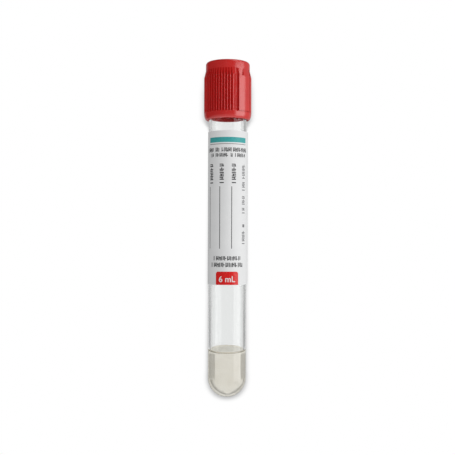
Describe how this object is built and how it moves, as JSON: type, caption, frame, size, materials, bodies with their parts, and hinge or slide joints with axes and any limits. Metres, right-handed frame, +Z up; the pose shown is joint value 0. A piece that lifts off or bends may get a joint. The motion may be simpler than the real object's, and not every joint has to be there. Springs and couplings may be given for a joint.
{
  "type": "blood collection tube",
  "caption": "Slim round-bottomed glass tube with a printed wrap label, clot gel in its base and a ribbed red safety cap over a rubber stopper, lying on its side.",
  "frame": {"origin": "on the floor, under the middle of the object's box, as it lies on its side", "axes": "+X along the tube towards the cap, +Z up, with the printed front of the label facing up"},
  "size_m": [0.1126, 0.0156, 0.0158],
  "materials": {
    "glass": "clear, polished",
    "gel": "milky translucent gel",
    "label": "coated paper with printed rules, bars and a red tab",
    "stopper": "matt butyl rubber",
    "cap": "satin moulded plastic"
  },
  "bodies": {
    "tube": {"glass_tube": "glass", "separator_gel": "gel", "label": "label"},
    "closure": {"safety_cap": "cap", "rubber_stopper": "stopper"}
  },
  "joints": [
    {"name": "closure_pull", "type": "slide", "parent": "tube", "child": "closure", "axis": [0.9999, 0, 0.0172], "range_m": [0, 0.03]}
  ]
}
